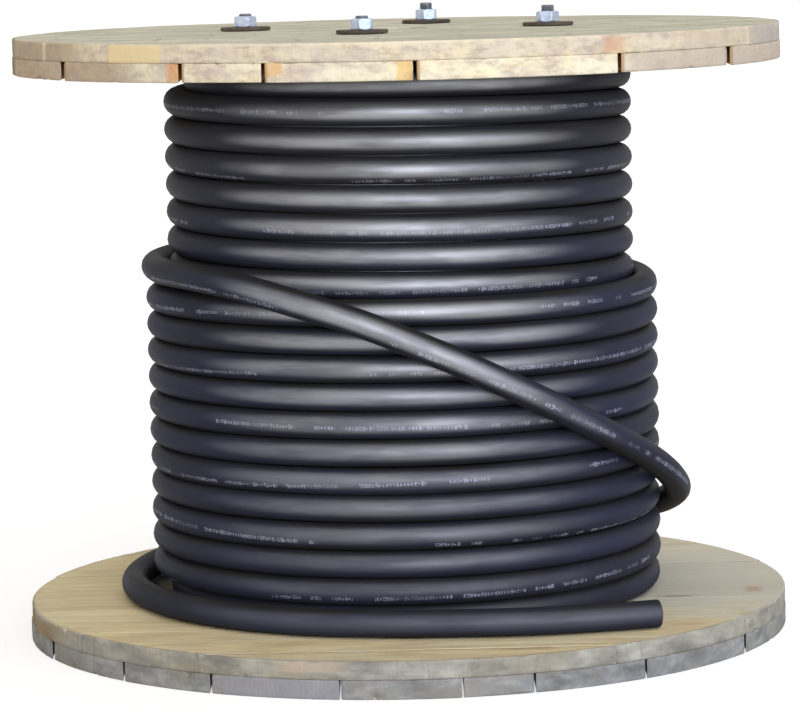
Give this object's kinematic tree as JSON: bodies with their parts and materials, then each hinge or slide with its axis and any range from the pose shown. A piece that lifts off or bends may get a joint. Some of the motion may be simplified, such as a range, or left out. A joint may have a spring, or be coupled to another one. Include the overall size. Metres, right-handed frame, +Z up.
{
  "type": "wooden cable drum",
  "caption": "Wooden cable drum standing upright: round flanges of crossed boards bolted onto a stave barrel, part filled with heavy black cable whose loose end lies on the lower flange.",
  "frame": {"origin": "centre of the lower flange's underside, on the floor", "axes": "+Z up along the drum's axis, -Y towards the side that the cable's loose end crosses, +X to the right of that side"},
  "size_m": [0.914, 0.914, 0.743],
  "materials": {
    "top_board": "weathered sawn pine",
    "base_board": "weathered sawn pine, grey at the rim",
    "stave": "sawn pine",
    "cable_sheath": "satin rubber, scuffed and dusty",
    "zinc_nut": "zinc plated",
    "bolt_steel": "dull threaded steel",
    "rusty_washer": "rusted plain steel"
  },
  "bodies": {
    "root": {"top_outer_board_1": "top_board", "top_outer_board_2": "top_board", "top_outer_board_3": "top_board", "top_outer_board_4": "top_board", "top_outer_board_5": "top_board", "top_outer_board_6": "top_board", "top_outer_board_7": "top_board", "top_outer_board_8": "top_board", "top_inner_board_1": "top_board", "top_inner_board_2": "top_board", "top_inner_board_3": "top_board", "top_inner_board_4": "top_board", "top_inner_board_5": "top_board", "top_inner_board_6": "top_board", "top_inner_board_7": "top_board", "base_inner_board_1": "base_board", "base_inner_board_2": "base_board", "base_inner_board_3": "base_board", "base_inner_board_4": "base_board", "base_inner_board_5": "base_board", "base_inner_board_6": "base_board", "base_inner_board_7": "base_board", "base_outer_board_1": "base_board", "base_outer_board_2": "base_board", "base_outer_board_3": "base_board", "base_outer_board_4": "base_board", "base_outer_board_5": "base_board", "base_outer_board_6": "base_board", "base_outer_board_7": "base_board", "base_outer_board_8": "base_board", "base_outer_board_9": "base_board", "tie_bolt_1": "bolt_steel", "tie_bolt_2": "bolt_steel", "tie_bolt_3": "bolt_steel", "tie_bolt_4": "bolt_steel", "nut_1": "zinc_nut", "nut_2": "zinc_nut", "nut_3": "zinc_nut", "nut_4": "zinc_nut", "top_washer_1": "rusty_washer", "top_washer_2": "rusty_washer", "top_washer_3": "rusty_washer", "top_washer_4": "rusty_washer", "base_washer_1": "rusty_washer", "base_washer_2": "rusty_washer", "base_washer_3": "rusty_washer", "base_washer_4": "rusty_washer", "barrel_staves": "stave", "cable_winding": "cable_sheath", "cable_tail": "cable_sheath"}
  },
  "joints": []
}
